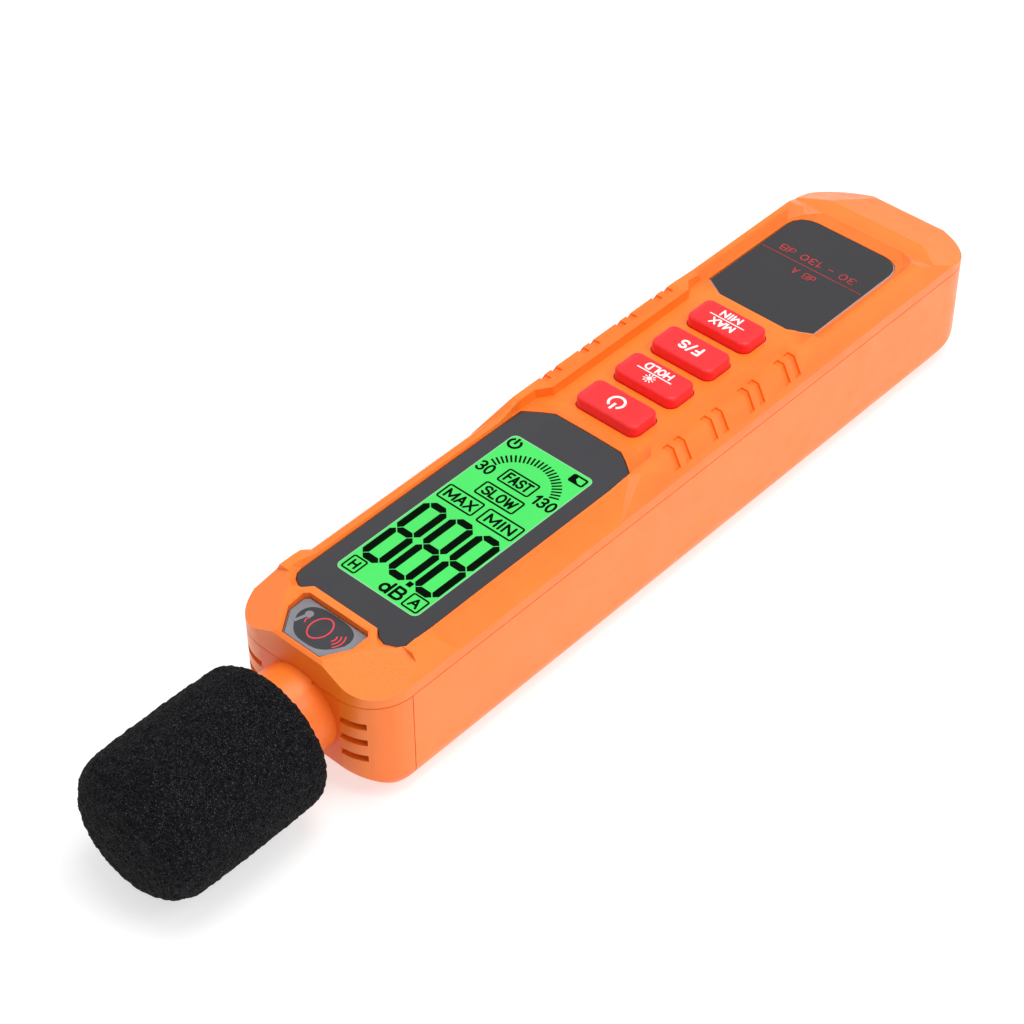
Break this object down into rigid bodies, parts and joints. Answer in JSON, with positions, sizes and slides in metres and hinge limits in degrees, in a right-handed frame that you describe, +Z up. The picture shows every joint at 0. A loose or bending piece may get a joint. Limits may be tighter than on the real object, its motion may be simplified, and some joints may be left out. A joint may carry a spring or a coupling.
{
  "type": "sound level meter",
  "caption": "Slim handheld sound level meter with a foam windscreen on a nose microphone, a lit segment display, a column of rubber keys and a sliding battery door.",
  "frame": {"origin": "centre of the bounding box at the underside the meter lies on", "axes": "+X across the case, +Y along the case from microphone to tail, +Z up out of the display face"},
  "size_m": [0.0346, 0.2058, 0.0281],
  "materials": {
    "orange_abs": "moulded fine-grain satin",
    "smoked_lens": "polished dark acrylic with a clear window",
    "label_black": "printed film, satin gloss",
    "lcd_glass": "polished",
    "backlight": "lit green diffuser",
    "white_plastic": "plain moulded",
    "elastomer_grey": "matte",
    "red_rubber": "smooth satin silicone",
    "black_plastic": "plain moulded",
    "steel": "plated",
    "black_steel": "black oxide",
    "aluminium": "satin",
    "board_green": "solder mask",
    "lead_red": "insulated lead",
    "foam": "open-cell foam",
    "cell_jacket": "shrink jacket"
  },
  "bodies": {
    "case": {"front_shell": "orange_abs", "rear_shell": "orange_abs", "nose_cap": "orange_abs", "display_lens": "smoked_lens", "nameplate": "label_black", "badge_plate": "label_black", "lcd_glass": "lcd_glass", "backlight_panel": "backlight", "display_holder": "white_plastic", "lcd_connector": "elastomer_grey", "keypad_frame": "black_plastic", "dome_switches": "steel", "main_board": "board_green", "board_components": "black_plastic", "quartz_crystal": "steel", "board_screws": "steel", "mic_barrel": "steel", "mic_capsule": "aluminium", "mic_gasket": "elastomer_grey", "mic_grille": "black_steel", "mic_leads": "lead_red", "battery_cell_1": "cell_jacket", "battery_cell_2": "cell_jacket", "battery_springs": "steel", "battery_contacts": "steel", "case_screws": "black_steel"},
    "windscreen": {"foam_windscreen": "foam"},
    "door": {"battery_door": "orange_abs"},
    "key_power_cap": {"key_power": "red_rubber"},
    "key_hold_cap": {"key_hold": "red_rubber"},
    "key_fast_slow_cap": {"key_fast_slow": "red_rubber"},
    "key_max_min_cap": {"key_max_min": "red_rubber"}
  },
  "joints": [
    {"name": "key_power_press", "type": "slide", "parent": "case", "child": "key_power_cap", "axis": [0, 0, -1], "range_m": [0, 0.0008], "stiffness_N_per_m": 1500, "springref_m": -0.0004},
    {"name": "key_hold_press", "type": "slide", "parent": "case", "child": "key_hold_cap", "axis": [0, 0, -1], "range_m": [0, 0.0008], "stiffness_N_per_m": 1500, "springref_m": -0.0004},
    {"name": "key_fast_slow_press", "type": "slide", "parent": "case", "child": "key_fast_slow_cap", "axis": [0, 0, -1], "range_m": [0, 0.0008], "stiffness_N_per_m": 1500, "springref_m": -0.0004},
    {"name": "key_max_min_press", "type": "slide", "parent": "case", "child": "key_max_min_cap", "axis": [0, 0, -1], "range_m": [0, 0.0008], "stiffness_N_per_m": 1500, "springref_m": -0.0004},
    {"name": "windscreen_pull", "type": "slide", "parent": "case", "child": "windscreen", "axis": [0, -1, 0], "range_m": [0, 0.035]},
    {"name": "battery_door_slide", "type": "slide", "parent": "case", "child": "door", "axis": [0, 1, 0], "range_m": [0, 0.07]}
  ]
}
